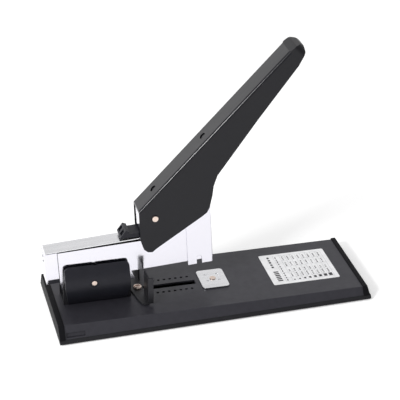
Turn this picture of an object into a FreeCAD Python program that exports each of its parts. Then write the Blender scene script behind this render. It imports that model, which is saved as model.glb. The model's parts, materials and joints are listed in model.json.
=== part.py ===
import FreeCAD, Part
import math
import os
import Sketcher
from FreeCAD import Placement, Rotation, Vector

# Long lever desk stapler for thick stacks.
# Row frame, millimetres: +X to the front, where paper goes in, +Y to the far side, +Z up.
# The origin is on the floor, at the middle of the footprint.
# Three local frames follow the real slopes:
#   TOP     lies on the base's top sheet, which falls a little towards the front
#   ARM     sits on the hinge that the arm turns on, x along the arm
#   HANDLE  sits on the handle's pivot, x along the handle's top

SIZES = [
    # base
    ("base_length", 270.0), ("base_top_width", 84.0), ("base_rear_height", 14.0),
    ("base_front_height", 10.5), ("wall_flare", 0.62), ("base_sheet", 1.6),
    ("rear_cap_length", 5.0), ("front_cap_length", 4.0), ("cap_proud", 0.9), ("front_cap_flare", 2.4),
    ("foot_height", 1.2), ("foot_radius", 8.0), ("foot_inset_x", 18.0), ("foot_inset_y", 8.5),
    ("tray_thick", 2.8), ("tray_lip", 0.4), ("tray_gap", 0.05),
    ("slot_width", 6.4), ("slot_to_bracket", 3.5), ("slot_to_anvil", 15.7),
    ("hole_radius", 1.25), ("hole_pitch", 5.07), ("hole_row", 9.8), ("hole_to_slot", 5.02),
    ("notch_inset", 6.0), ("notch_length", 16.0), ("notch_height", 3.4),
    ("notch_sill", 1.2), ("notch_depth", 1.2),
    ("post_inset_x", 37.0), ("post_inset_y", 14.0), ("post_radius", 4.0), ("screw_radius", 1.6),
    ("screw_head", 3.2),
    # anvil
    ("anvil_ahead", 3.8), ("anvil_length", 23.6), ("anvil_width", 29.2), ("anvil_thick", 1.0),
    ("anvil_corner", 3.0), ("anvil_lift", 0.3), ("anvil_rivet_radius", 1.6), ("anvil_head", 2.7),
    ("groove_offset", 5.2), ("groove_depth", 0.5), ("groove_width", 1.8),
    # label
    ("label_behind", 49.4), ("label_inset", 17.5), ("label_width", 50.0), ("label_side", 2.8),
    ("label_thick", 0.25),
    # depth guide
    ("guide_from_bracket", 12.3), ("guide_sheet", 1.3), ("fin_height", 26.0), ("fin_outer", 27.6),
    ("fin_gap", 0.5), ("fin_lip", 3.4), ("guide_lift", 0.15), ("guide_reach", 11.2),
    ("guide_screw_back", 4.4), ("guide_shank", 2.4), ("guide_head", 3.6), ("guide_head_thick", 2.0),
    # hinge
    ("pivot_inset", 36.2), ("pivot_height", 21.5), ("hinge_pin_radius", 3.0), ("run_gap", 0.05),
    ("ear_gap", 0.6), ("ear_sheet", 1.6), ("ear_height", 33.0), ("ear_reach_rear", 25.7),
    ("ear_reach_front", 32.3), ("ear_shoulder", 19.0), ("ear_lean", 5.5), ("ear_neck", 2.0),
    ("cover_inset_rear", 1.3), ("cover_inset_front", 1.5), ("cover_height", 36.0),
    ("cover_room", 6.4),
    ("cover_radius", 30.6), ("cover_wall", 1.8), ("cover_gap", 0.15), ("cover_corner", 3.5),
    ("cover_taper", 2.6), ("pin_end_radius", 2.2), ("pin_end_stand", 0.7), ("pin_recess", 3.7),
    ("hinge_wire", 0.9), ("hinge_coil", 4.6), ("rivet_radius", 2.0), ("rivet_head", 3.4),
    ("rivet_tail", 0.96), ("rivet_crown", 1.12),
    # arm
    ("arm_pitch", 2.3), ("arm_sheet", 1.4), ("arm_bottom", 0.9),
    ("arm_top", 31.0), ("arm_rear", 27.5), ("arm_front", 103.1), ("lug_drop", 7.2),
    ("lug_rear", 26.5), ("lug_front", 36.3), ("ear_length", 59.6), ("ear_top", 58.0),
    ("ear_step", 54.5), ("ear_web_bottom", 38.5),
    ("column_length", 22.0), ("column_ahead", 0.2), ("column_bottom", 2.7), ("column_top", 62.0),
    ("column_sheet", 1.2), ("column_gap", 0.1), ("window_back", 11.9), ("window_width", 4.4),
    ("window_height", 8.0), ("exit_gap", 4.6),
    # staples and rail
    ("staple_crown", 13.0), ("staple_leg", 17.0), ("staple_wire", 0.7), ("strip_length", 46.5),
    ("strip_gap", 0.1), ("rail_thick", 1.2), ("rail_rise", 0.5), ("rim_fall", 1.1),
    ("rail_inset", 0.5), ("rail_side_gap", 0.4), ("rail_back", 20.5), ("tail_end", 38.9),
    ("tail_sheet", 1.4), ("tail_bottom", 5.0), ("tail_screw_low", 19.9), ("tail_screw_pitch", 5.0),
    ("seam_gap", 0.4), ("block_front", 24.0),
    ("rod_radius", 1.8), ("rod_height", 10.0), ("rod_back", 6.5), ("clip_radius", 3.4),
    ("pusher_length", 10.0), ("pusher_top", 26.0), ("spring_wire", 0.7), ("spring_coil", 3.0),
    # ram
    ("blade_thick", 1.2), ("blade_gap", 0.3), ("blade_rest", 5.5), ("blade_high", 62.0),
    ("ram_back", 18.5), ("ram_low", 56.5), ("ram_high", 66.5), ("ram_gap", 1.0),
    ("fork_half", 3.2), ("fork_floor", 58.8), ("roller_at", 38.9), ("roller_rise", 14.0),
    ("roller_radius", 4.0), ("roller_pin", 1.5),
    # latch
    ("latch_inset", 0.6), ("latch_gap", 0.3), ("latch_pin_back", 4.1), ("latch_pin_height", 34.0),
    ("latch_pin_radius", 1.2), ("latch_nose", 8.0), ("latch_top", 36.2), ("latch_length", 33.8),
    ("latch_slant", 5.2), ("latch_rise", 3.7), ("latch_lift", 0.7), ("latch_heel", 1.9),
    ("recess_side", 4.6), ("recess_depth", 1.2),
    # handle
    ("handle_pivot_back", 47.0), ("handle_pivot_height", 49.2), ("handle_lift", 43.2),
    ("handle_gap", 0.3), ("handle_sheet", 1.4), ("handle_top", 15.0), ("handle_tip", 188.5),
    ("handle_heel", 4.0), ("handle_edge", 2.4), ("tip_corner", 7.5), ("nose_radius", 2.6),
    ("handle_pin_radius", 2.0), ("handle_pin_head", 2.6), ("handle_pin_head_thick", 1.1),
    ("liner_front", 92.0), ("liner_rear", 5.0), ("liner_gap", 1.2), ("liner_thick", 1.3), ("cam_half", 2.5),
    ("cam_gap", 0.45), ("cam_angle", 23.3), ("cam_start", 8.0), ("cam_end", 45.0),
    ("top_screw_near", 16.8), ("top_screw_far", 77.5), ("top_screw_radius", 1.8),
    ("top_screw_head", 2.6), ("top_hole_gap", 0.3), ("top_head_thick", 0.5),
    ("handle_wire", 1.4), ("handle_coil", 4.6),
]

HOLES_PER_ROW = 8

# Sizes that follow from the driving ones by a named clearance.
FITS = {
    "arm_width": lambda: S.staple_crown + 2 * (S.strip_gap + S.arm_sheet),
    "arm_inner": lambda: S.arm_width / 2 - S.arm_sheet,
    "strip_low": lambda: S.arm_bottom + S.arm_sheet + S.strip_gap,
    "blade_low": lambda: S.strip_low + S.staple_leg + S.blade_rest,
    "column_front": lambda: S.arm_front + S.column_ahead + S.column_sheet,
    "column_rear": lambda: S.column_front - S.column_length,
    "column_inner": lambda: S.arm_width / 2 + S.column_gap,
    "window_at": lambda: S.column_front - S.window_back,
    "rail_front": lambda: S.column_front - S.rail_back,
    "rod_front": lambda: S.column_front - S.rod_back,
    "ram_rear": lambda: S.column_front - S.ram_back,
    "ram_half": lambda: S.arm_inner - S.ram_gap,
    "ear_back": lambda: S.arm_front - S.ear_length,
    "handle_pivot_at": lambda: S.arm_front - S.handle_pivot_back,
    "handle_width": lambda: 2 * (S.column_inner + S.column_sheet + S.handle_gap + S.handle_sheet),
    "liner_half": lambda: S.handle_width / 2 - S.handle_sheet - S.liner_gap,
    "latch_half": lambda: S.arm_width / 2 - S.latch_inset,
    "latch_inner_half": lambda: S.arm_inner - S.latch_gap,
    "latch_pin_at": lambda: S.handle_pivot_at - S.latch_pin_back,
    "latch_front": lambda: S.latch_pin_at + S.latch_nose,
    "latch_rear": lambda: S.latch_front - S.latch_length,
    "pivot_at": lambda: S.base_length / 2 - S.pivot_inset,
    "ear_rear": lambda: S.pivot_at + S.ear_reach_rear,
    "ear_front": lambda: S.pivot_at - S.ear_reach_front,
    "ear_inner": lambda: S.arm_width / 2 + S.ear_gap,
    "ear_outer": lambda: S.ear_inner + S.ear_sheet,
    "cover_rear": lambda: S.ear_rear - S.cover_inset_rear,
    "cover_front": lambda: S.ear_front + S.cover_inset_front,
    "cover_bulge": lambda: S.ear_outer + S.cover_room,
    "anvil_at": lambda: S.arm_front - S.pivot_at + S.anvil_ahead,
    "slot_rear": lambda: S.ear_front - S.slot_to_bracket,
    "slot_front": lambda: S.slot_to_anvil - S.anvil_at,
    "hole_last": lambda: -S.slot_front - S.hole_to_slot,
    "guide_at": lambda: S.ear_front - S.guide_from_bracket,
    "fin_inner": lambda: S.handle_width / 2 + S.fin_gap,
    "label_rear": lambda: S.anvil_at + S.label_behind,
    "label_front": lambda: S.base_length / 2 - S.label_inset,
    "notch_rear": lambda: S.base_length / 2 - S.notch_inset,
}

doc = FreeCAD.newDocument("Stapler")
sheet = doc.addObject("Spreadsheet::Sheet", "Sizes")
for row, (alias, number) in enumerate(SIZES, start=1):
    sheet.set("A%d" % row, alias)
    sheet.set("B%d" % row, str(number))
    sheet.setAlias("B%d" % row, alias)
doc.recompute()


class Size:
    """A length worked out from the sheet: its present value and the expression that gives it."""

    def __init__(self, value, text):
        self.value = value
        self.text = text

    def __add__(self, other):
        return combine(self, other, "+")

    def __radd__(self, other):
        return combine(other, self, "+")

    def __sub__(self, other):
        return combine(self, other, "-")

    def __rsub__(self, other):
        return combine(other, self, "-")

    def __mul__(self, other):
        return combine(self, other, "*")

    def __rmul__(self, other):
        return combine(other, self, "*")

    def __truediv__(self, other):
        return combine(self, other, "/")

    def __neg__(self):
        return Size(-self.value, "(0 - %s)" % self.text)


def lift(number):
    """A plain number as a Size."""
    if isinstance(number, Size):
        return number
    return Size(float(number), "(%r)" % float(number))


def combine(left, right, sign):
    left, right = lift(left), lift(right)
    if sign == "+":
        value = left.value + right.value
    elif sign == "-":
        value = left.value - right.value
    elif sign == "*":
        value = left.value * right.value
    else:
        value = left.value / right.value
    return Size(value, "(%s %s %s)" % (left.text, sign, right.text))


def sin_of(degrees):
    return Size(math.sin(math.radians(degrees.value)), "sin(%s)" % degrees.text)


def cos_of(degrees):
    return Size(math.cos(math.radians(degrees.value)), "cos(%s)" % degrees.text)


class Sheet:
    """Reads a named size from the spreadsheet, or works it out from its fit."""

    def __getattr__(self, alias):
        if alias in FITS:
            return FITS[alias]()
        return Size(float(getattr(sheet, alias)), "Sizes.%s" % alias)


S = Sheet()
PLANE_TURN = {
    "XY": Rotation(),
    "XZ": Rotation(Vector(1, 0, 0), 90),
    "YZ": Rotation(Vector(1, 1, 1), 120),
}
NORMAL = {"XY": Vector(0, 0, 1), "XZ": Vector(0, 1, 0), "YZ": Vector(1, 0, 0)}
DEPTH = {"XY": "z", "XZ": "y", "YZ": "x"}
ROD_TURN = {"X": Rotation(Vector(0, 1, 0), 90), "Y": Rotation(Vector(1, 0, 0), -90), "Z": Rotation()}


def add(kind, name):
    return doc.addObject(kind, name)


def bind(item, prop, size):
    item.setExpression(prop, lift(size).text)


def place(item, x, y, z, turn):
    x, y, z = lift(x), lift(y), lift(z)
    item.Placement = Placement(Vector(x.value, y.value, z.value), turn)
    for axis, size in (("x", x), ("y", y), ("z", z)):
        bind(item, "Placement.Base." + axis, size)


def block(name, x, y, z):
    """A box between two values on each axis."""
    item = add("Part::Box", name)
    for prop, (low, high) in (("Length", x), ("Width", y), ("Height", z)):
        bind(item, prop, lift(high) - low)
    place(item, x[0], y[0], z[0], Rotation())
    return item


def rod(name, axis, start, end, centre, radius):
    """A cylinder along a row axis from start to end; centre holds the two other coordinates."""
    item = add("Part::Cylinder", name)
    bind(item, "Radius", radius)
    bind(item, "Height", lift(end) - start)
    spot = {"X": (start, centre[0], centre[1]), "Y": (centre[0], start, centre[1]),
            "Z": (centre[0], centre[1], start)}[axis]
    place(item, spot[0], spot[1], spot[2], ROD_TURN[axis])
    return item


def outline(name, points, plane, start):
    """A closed polygon in a sketch, each corner held by two distances from the origin."""
    sketch = add("Sketcher::SketchObject", name)
    shift = {"x": 0, "y": 0, "z": 0}
    shift[DEPTH[plane]] = start
    place(sketch, shift["x"], shift["y"], shift["z"], PLANE_TURN[plane])
    corners = [(lift(a), lift(b)) for a, b in points]
    last = len(corners) - 1
    for index, (a, b) in enumerate(corners):
        c, d = corners[0 if index == last else index + 1]
        line = Part.LineSegment(Vector(a.value, b.value, 0), Vector(c.value, d.value, 0))
        sketch.addGeometry(line, False)
    for index in range(len(corners)):
        following = 0 if index == last else index + 1
        sketch.addConstraint(Sketcher.Constraint("Coincident", index, 2, following, 1))
    for index, corner in enumerate(corners):
        for kind, size, axis in (("DistanceX", corner[0], -2), ("DistanceY", corner[1], -1)):
            if abs(size.value) < 1e-9:
                sketch.addConstraint(Sketcher.Constraint("PointOnObject", index, 1, axis))
                continue
            number = sketch.addConstraint(Sketcher.Constraint(kind, -1, 1, index, 1, size.value))
            sketch.setExpression("Constraints[%d]" % number, size.text)
    return sketch


def slab(name, points, plane, start, end):
    """A polygon swept straight along the axis that its plane leaves."""
    item = add("Part::Extrusion", name)
    item.Base = outline(name + "_outline", points, plane, start)
    item.DirMode = "Custom"
    item.Dir = NORMAL[plane]
    item.Solid = True
    bind(item, "LengthFwd", lift(end) - start)
    return item


def join(name, *items):
    fused = add("Part::MultiFuse", name)
    fused.Shapes = list(items)
    return fused


def cut(name, base, *tools):
    item = add("Part::Cut", name)
    item.Base = base
    item.Tool = tools[0] if len(tools) == 1 else join(name + "_tools", *tools)
    return item


def common(name, first, second):
    item = add("Part::Common", name)
    item.Base = first
    item.Tool = second
    return item


def rounded(name, base, radius, wanted):
    """Rounds the edges whose centre and direction satisfy wanted(centre, direction)."""
    doc.recompute()
    item = add("Part::Fillet", name)
    item.Base = base
    picked = []
    for index, edge in enumerate(base.Shape.Edges, start=1):
        if edge.Length < 1e-6:
            continue
        direction = edge.tangentAt(edge.FirstParameter)
        if wanted(edge.CenterOfMass, direction):
            picked.append((index, radius.value, radius.value))
    item.Edges = picked
    return item


def coil(name, axis, start, height, centre, radius, wire, turns):
    """A round wire wound around a row axis."""
    path = add("Part::Helix", name + "_path")
    bind(path, "Radius", radius)
    bind(path, "Height", height)
    bind(path, "Pitch", lift(height) / turns)
    ring = add("Part::Circle", name + "_section")
    bind(ring, "Radius", lift(wire) / 2)
    place(ring, radius, 0, 0, Rotation(Vector(1, 0, 0), 90))
    sweep = add("Part::Sweep", name + "_wire")
    sweep.Sections = [ring]
    sweep.Spine = (path, [])
    sweep.Solid = True
    sweep.Frenet = True
    spot = {"X": (start, centre[0], centre[1]), "Y": (centre[0], start, centre[1]),
            "Z": (centre[0], centre[1], start)}[axis]
    place(sweep, spot[0], spot[1], spot[2], ROD_TURN[axis])
    return sweep


def along(axis):
    """Picks edges that run along a row axis."""
    pick = {"X": 0, "Y": 1, "Z": 2}[axis]
    return lambda centre, direction: abs(abs(direction[pick]) - 1) < 1e-4


pieces = []


def piece(node, source, frame):
    """One named sub-part: the finished shape, set in its frame."""
    item = add("Part::Refine", node)
    item.Source = source
    item.Placement = frame
    item.Label = node
    pieces.append(item)
    return item


def frames():
    """The frames of the base top, the arm and the handle, at rest."""
    fall = S.base_rear_height - S.base_front_height
    slope = math.degrees(math.atan2(fall.value, S.base_length.value))
    middle = (S.base_rear_height + S.base_front_height) / 2
    top = Placement(Vector(0, 0, middle.value), Rotation(Vector(0, 1, 0), slope))
    hinge = top.multVec(Vector(-S.pivot_at.value, 0, S.pivot_height.value))
    arm = Placement(hinge, Rotation(Vector(0, -1, 0), S.arm_pitch.value))
    pivot = Vector(S.handle_pivot_at.value, 0, S.handle_pivot_height.value)
    handle = arm.multiply(Placement(pivot, Rotation(Vector(0, -1, 0), S.handle_lift.value)))
    return top, arm, handle


WORLD = Placement()
TOP, ARM, HANDLE = frames()
DEEP = S.base_rear_height * 3


# ---------------------------------------------------------------- base

def wedge(name, grow, rear, front):
    """The base's outer section, grown by a skin, from one length position to another."""
    half = S.base_top_width / 2 + grow
    flare = S.wall_flare * DEEP
    points = [(-half, grow), (half, grow), (half + flare, grow - DEEP), (-half - flare, grow - DEEP)]
    return slab(name, points, "YZ", rear, front)


def under(name, level):
    """Everything below a level above the floor, in the base top's frame."""
    item = add("Part::Box", name)
    size = S.base_length * 2
    bind(item, "Length", size)
    bind(item, "Width", size)
    bind(item, "Height", size)
    corner = Placement(Vector(-size.value / 2, -size.value / 2, level.value - size.value), Rotation())
    item.Placement = TOP.inverse().multiply(corner)
    return item


def tray_top():
    return S.foot_height + S.tray_thick


def post_spots():
    x = S.base_length / 2 - S.post_inset_x
    y = S.base_top_width / 2 - S.post_inset_y
    return [(-x, -y), (-x, y), (x, -y), (x, y)]


def make_base_plate():
    rear = -S.base_length / 2 + S.rear_cap_length
    front = S.base_length / 2 - S.front_cap_length
    outer = wedge("plate_outer", 0, rear, front)
    edge = rounded("plate_edge", outer, S.base_sheet / 2,
                   lambda centre, direction: abs(abs(direction.x) - 1) < 1e-4 and centre.z > -1)
    inner = wedge("plate_inner", -S.base_sheet, rear - 1, front + 1)
    floor = under("plate_floor", tray_top() + S.tray_gap)
    half_slot = S.slot_width / 2
    slot = block("plate_slot", (-S.slot_rear, -S.slot_front), (-half_slot, half_slot), (-DEEP, DEEP))
    tools = [inner, floor, slot]
    for side in (-1, 1):
        for index in range(HOLES_PER_ROW):
            name = "plate_hole_%d_%d" % (side + 1, index)
            spot = (S.hole_last - S.hole_pitch * index, S.hole_row * side)
            tools.append(rod(name, "Z", -DEEP, DEEP, spot, S.hole_radius))
    tools.append(rod("plate_rivet_hole", "Z", -DEEP, DEEP, (S.anvil_at, 0), S.anvil_rivet_radius))
    for index, spot in enumerate(bracket_rivet_spots()):
        tools.append(rod("plate_bracket_hole_%d" % index, "Z", -DEEP, DEEP, spot, S.rivet_radius))
    tools.append(make_notch("plate_notch"))
    piece("base_plate", cut("plate_cut", edge, *tools), TOP)


def make_notch(name):
    """The shallow finger recess low in the near wall, at the rear."""
    box = add("Part::Box", name + "_box")
    bind(box, "Length", S.notch_length)
    bind(box, "Width", S.base_top_width)
    bind(box, "Height", S.notch_height)
    low = Vector(-S.notch_rear.value, -1.3 * S.base_top_width.value, (tray_top() + S.notch_sill).value)
    box.Placement = TOP.inverse().multiply(Placement(low, Rotation()))
    half = S.base_length / 2
    skin = cut(name + "_skin", wedge(name + "_outer", 1, -half, half),
               wedge(name + "_inner", -S.notch_depth, -half, half))
    return common(name, box, skin)


def make_end_caps():
    half = S.base_length / 2
    floor = tray_top() + S.tray_gap
    rear = wedge("rear_cap_body", S.cap_proud, -half, -half + S.rear_cap_length)
    piece("rear_end_cap", cut("rear_cap_cut", rear, under("rear_cap_floor", floor)), TOP)
    front = wedge("front_cap_body", S.cap_proud, half - S.front_cap_length, half + S.front_cap_flare)
    rise, drop = S.cap_proud + 1, S.base_front_height
    side = [(half - S.front_cap_length, rise), (half, rise), (half + S.front_cap_flare, -drop),
            (half - S.front_cap_length, -drop - DEEP)]
    shaped = common("front_cap_shape", front,
                    slab("front_cap_side", side, "XZ", -S.base_length / 2, S.base_length / 2))
    piece("front_end_cap", cut("front_cap_cut", shaped, under("front_cap_floor", floor)), TOP)


def make_tray():
    half = S.base_length / 2
    body = wedge("tray_body", S.tray_lip, -half, half + S.front_cap_flare)
    above = add("Part::Box", "tray_above")
    size = S.base_length * 2
    for prop in ("Length", "Width", "Height"):
        bind(above, prop, size)
    corner = Placement(Vector(-size.value / 2, -size.value / 2, tray_top().value), Rotation())
    above.Placement = TOP.inverse().multiply(corner)
    below = under("tray_below", S.foot_height)
    sunk = [rod("tray_sink_%d" % index, "Z", -DEEP, DEEP, spot, S.screw_radius)
            for index, spot in enumerate(post_spots())]
    piece("bottom_tray", cut("tray_cut", body, above, below, *sunk), TOP)


def make_feet():
    feet = []
    x = S.base_length / 2 - S.foot_inset_x
    y = S.base_top_width / 2 - S.foot_inset_y
    for index, (a, b) in enumerate([(-1, -1), (-1, 1), (1, -1), (1, 1)]):
        feet.append(rod("foot_%d" % index, "Z", 0, S.foot_height, (x * a, y * b), S.foot_radius))
    piece("rubber_feet", join("feet", *feet), WORLD)


def make_posts():
    posts, screws = [], []
    deck = tray_top().value
    for index, (x, y) in enumerate(post_spots()):
        solid = rod("post_body_%d" % index, "Z", -DEEP, -S.base_sheet, (x, y), S.post_radius)
        bore = rod("post_bore_%d" % index, "Z", -DEEP, DEEP, (x, y), S.screw_radius)
        posts.append(cut("post_%d" % index, solid, bore, under("post_floor_%d" % index, tray_top())))
        local = TOP.inverse().multVec(Vector(x.value, y.value, deck)).z
        seat = Size(local, "(%r)" % local) - S.tray_thick - S.run_gap
        shank = rod("screw_shank_%d" % index, "Z", seat, -S.base_sheet * 2, (x, y), S.screw_radius)
        cap = rod("screw_cap_%d" % index, "Z", seat - S.foot_height / 2, seat, (x, y), S.screw_head)
        screws.append(join("screw_%d" % index, shank, cap))
    piece("base_posts", join("posts", *posts), TOP)
    piece("tray_screws", join("screws", *screws), TOP)


# ---------------------------------------------------------------- hinge on the base

def bracket_rivet_spots():
    reach = (S.ear_rear - S.ear_front) / 2 - S.rivet_head * 2.5
    middle = -(S.ear_rear + S.ear_front) / 2
    side = S.ear_inner / 2
    return [(middle - reach, -side), (middle - reach, side), (middle + reach, -side), (middle + reach, side)]


def make_bracket():
    outer = S.ear_outer
    points = [(-S.ear_rear, 0), (-S.ear_front, 0), (-S.ear_front, S.ear_shoulder - S.ear_neck),
              (-S.ear_front - S.ear_lean, S.ear_height), (-S.ear_rear + S.ear_lean, S.ear_height),
              (-S.ear_rear, S.ear_shoulder)]
    body = slab("bracket_body", points, "XZ", -outer, outer)
    inside = block("bracket_inside", (-S.ear_rear - 1, -S.ear_front + 1), (-S.ear_inner, S.ear_inner),
                   (S.ear_sheet, S.ear_height + 1))
    bore = rod("bracket_bore", "Y", -outer - 1, outer + 1, (-S.pivot_at, S.pivot_height),
               S.hinge_pin_radius)
    tools = [inside, bore]
    for index, spot in enumerate(bracket_rivet_spots()):
        tools.append(rod("bracket_hole_%d" % index, "Z", -1, S.ear_sheet + 1, spot, S.rivet_radius))
    piece("hinge_bracket", cut("bracket_cut", body, *tools), TOP)
    rivets = []
    for index, spot in enumerate(bracket_rivet_spots()):
        end = -S.base_sheet - S.rivet_tail
        shank = rod("rivet_shank_%d" % index, "Z", end, S.ear_sheet, spot, S.rivet_radius)
        head = rod("rivet_head_%d" % index, "Z", S.ear_sheet, S.ear_sheet + S.rivet_crown, spot,
                   S.rivet_head)
        tail = rod("rivet_tail_%d" % index, "Z", end, -S.base_sheet, spot, S.rivet_head)
        rivets.append(join("rivet_%d" % index, shank, head, tail))
    piece("bracket_rivets", join("rivets", *rivets), TOP)


def curved_body(name, side, skin):
    """The cover's barrel shape, drawn in by a skin on every face but the open inner one."""
    inner = S.ear_outer + S.cover_gap
    low, high = S.cover_gap + skin, S.cover_height - skin
    rear, front = -S.cover_rear + skin, -S.cover_front - skin
    knee = S.cover_height / 2
    points = [(rear + S.cover_taper, low), (rear, knee), (rear, high), (front, high), (front, knee),
              (front - S.cover_taper, low)]
    near, far = (inner, S.cover_bulge) if side > 0 else (-S.cover_bulge, -inner)
    body = slab(name + "_side", points, "XZ", near, far)
    middle = (S.cover_bulge - S.cover_radius) * side
    drum = rod(name + "_drum", "X", -S.cover_rear - 1, -S.cover_front + 1,
               (middle, S.cover_height / 2), S.cover_radius - skin)
    return common(name, body, drum)


def make_cover(node, side):
    solid = curved_body(node + "_solid", side, 0)
    corners = rounded(node + "_corners", solid, S.cover_corner,
                      lambda centre, direction: abs(abs(direction.y) - 1) < 1e-3
                      and centre.z > S.cover_height.value - 1)
    hollow = curved_body(node + "_hollow", side, S.cover_wall)
    spot = (-S.pivot_at, S.pivot_height)
    reach = S.cover_bulge + 1
    start, end = (0, reach) if side > 0 else (-reach, 0)
    bore = rod(node + "_bore", "Y", start, end, spot, S.pin_end_radius)
    shallow = S.cover_bulge - S.cover_wall / 3
    start, end = (shallow, reach) if side > 0 else (-reach, -shallow)
    recess = rod(node + "_recess", "Y", start, end, spot, S.pin_recess)
    nick = block(node + "_nick", (-S.pivot_at, -S.pivot_at + 3),
                 (-S.cover_bulge, S.cover_bulge), (S.cover_height - 0.8, S.cover_height + 1))
    piece(node, cut(node + "_cut", corners, hollow, bore, recess, nick), TOP)


def make_hinge_pins():
    spot = (-S.pivot_at, S.pivot_height)
    inner = S.arm_inner + 0.1
    step = S.cover_bulge - S.cover_wall - 1
    end = S.cover_bulge + S.pin_end_stand - S.cover_wall / 3
    pins = []
    for side in (-1, 1):
        spans = [(inner, step, S.hinge_pin_radius), (step, end, S.pin_end_radius)]
        parts = []
        for index, (near, far, radius) in enumerate(spans):
            start, stop = (near, far) if side > 0 else (-far, -near)
            parts.append(rod("pin_%d_%d" % (side + 1, index), "Y", start, stop, spot, radius))
        pins.append(join("pin_%d" % (side + 1), *parts))
    piece("hinge_pins", join("pins", *pins), TOP)


def make_hinge_springs():
    turns = 2
    room = S.hinge_wire * turns * 1.15
    inner = S.ear_outer + S.hinge_wire / 2 + 0.2
    for name, start in (("hinge_spring_far", inner), ("hinge_spring_near", -inner - room)):
        wound = coil(name, "Y", start, room, (-S.pivot_at, S.pivot_height), S.hinge_coil,
                     S.hinge_wire, turns)
        piece(name, wound, TOP)


# ---------------------------------------------------------------- anvil, label, depth guide

def make_anvil():
    half_x, half_y = S.anvil_length / 2, S.anvil_width / 2
    low, high = S.anvil_lift, S.anvil_lift + S.anvil_thick
    plate = block("anvil_body", (S.anvil_at - half_x, S.anvil_at + half_x), (-half_y, half_y), (low, high))
    corners = rounded("anvil_corners", plate, S.anvil_corner, along("Z"))
    tools = [rod("anvil_bore", "Z", low - 1, high + 1, (S.anvil_at, 0), S.anvil_rivet_radius + S.run_gap)]
    leg = S.staple_crown / 2
    for end in (-1, 1):
        for side in (-1, 1):
            near, far = (leg - 4, leg + 1.2) if side > 0 else (-leg - 1.2, -leg + 4)
            middle = S.anvil_at + S.groove_offset * end
            tools.append(block("groove_%d_%d" % (end + 1, side + 1),
                               (middle - S.groove_width / 2, middle + S.groove_width / 2),
                               (near, far), (high - S.groove_depth, high + 1)))
    piece("anvil_plate", cut("anvil_cut", corners, *tools), TOP)
    shank = rod("anvil_shank", "Z", -S.base_sheet * 2.5, high + S.run_gap * 2, (S.anvil_at, 0),
                S.anvil_rivet_radius)
    head = rod("anvil_cap", "Z", high + S.run_gap * 2, high + 0.7, (S.anvil_at, 0), S.anvil_head)
    piece("anvil_rivet", join("anvil_rivet_body", shank, head), TOP)
    reach = S.anvil_rivet_radius * 2
    ring = rod("washer_body", "Z", S.run_gap, S.anvil_lift - S.run_gap, (S.anvil_at, 0), reach * 1.6)
    bore = rod("washer_bore", "Z", -1, 1, (S.anvil_at, 0), S.anvil_rivet_radius)
    piece("anvil_washer", cut("washer_cut", ring, bore), TOP)
    support = block("support_body", (S.anvil_at - half_x, S.anvil_at + half_x), (-half_y, half_y),
                    (-DEEP, -S.base_sheet))
    floor = under("support_floor", tray_top())
    hole = rod("support_bore", "Z", -DEEP, DEEP, (S.anvil_at, 0), S.anvil_rivet_radius)
    piece("anvil_support", cut("support_cut", support, floor, hole), TOP)


def make_label():
    side = S.label_width / 2
    card = block("label_body", (S.label_rear, S.label_front),
                 (S.label_side - side, S.label_side + side), (0, S.label_thick))
    piece("size_label", rounded("label_corners", card, S.anvil_corner / 2, along("Z")), TOP)


def make_guide():
    front = -S.guide_at
    rear = front - S.guide_reach
    low, high = S.guide_lift, S.guide_lift + S.guide_sheet
    tip = S.fin_outer
    points = [(rear, 0), (rear + 3.2, -tip * 0.69), (front - 6, -tip * 0.94), (front - 4.2, -tip),
              (front, -tip), (front, tip), (front - 4.2, tip), (front - 6, tip * 0.94),
              (rear + 3.2, tip * 0.69)]
    parts = [slab("guide_foot", points, "XY", low, high)]
    for side in (-1, 1):
        near, far = (S.fin_inner, tip) if side > 0 else (-tip, -S.fin_inner)
        parts.append(block("guide_fin_%d" % (side + 1), (front - S.guide_sheet, front), (near, far),
                           (low, low + S.fin_height)))
        near, far = (tip - S.guide_sheet, tip) if side > 0 else (-tip, -tip + S.guide_sheet)
        parts.append(block("guide_lip_%d" % (side + 1), (front - S.guide_sheet, front + S.fin_lip),
                           (near, far), (low + S.guide_sheet, low + S.fin_height)))
    at = (front - S.guide_screw_back, 0)
    bore = rod("guide_bore", "Z", -1, DEEP, at, S.guide_shank + S.run_gap)
    piece("depth_guide", cut("guide_cut", join("guide_body", *parts), bore), TOP)
    shank = rod("lock_shank", "Z", -S.base_sheet * 2.9, high + 0.1, at, S.guide_shank)
    head = rod("lock_head", "Z", high + 0.1, high + 0.1 + S.guide_head_thick, at, S.guide_head)
    dome = rounded("lock_dome", head, S.guide_head_thick * 0.6,
                   lambda centre, direction: centre.z > high.value + 1)
    groove = block("lock_groove", (at[0] - S.guide_head, at[0] + S.guide_head), (-0.5, 0.5),
                   (high + S.guide_head_thick * 0.6, high + S.guide_head_thick + 1))
    piece("guide_lock_screw", cut("lock_cut", join("lock_body", shank, dome), groove), TOP)
    half = S.slot_width
    nut = block("nut_body", (at[0] - half, at[0] + half), (-half, half),
                (-S.base_sheet * 2.8, -S.base_sheet - 0.3))
    thread = rod("nut_bore", "Z", -DEEP, DEEP, at, S.guide_shank + S.run_gap)
    piece("guide_nut_plate", cut("nut_cut", nut, thread), TOP)


# ---------------------------------------------------------------- arm

def wall_top():
    """The arm's side walls end a little below the magazine cover that closes them."""
    return S.arm_top - S.rail_thick - S.rail_rise


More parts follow.
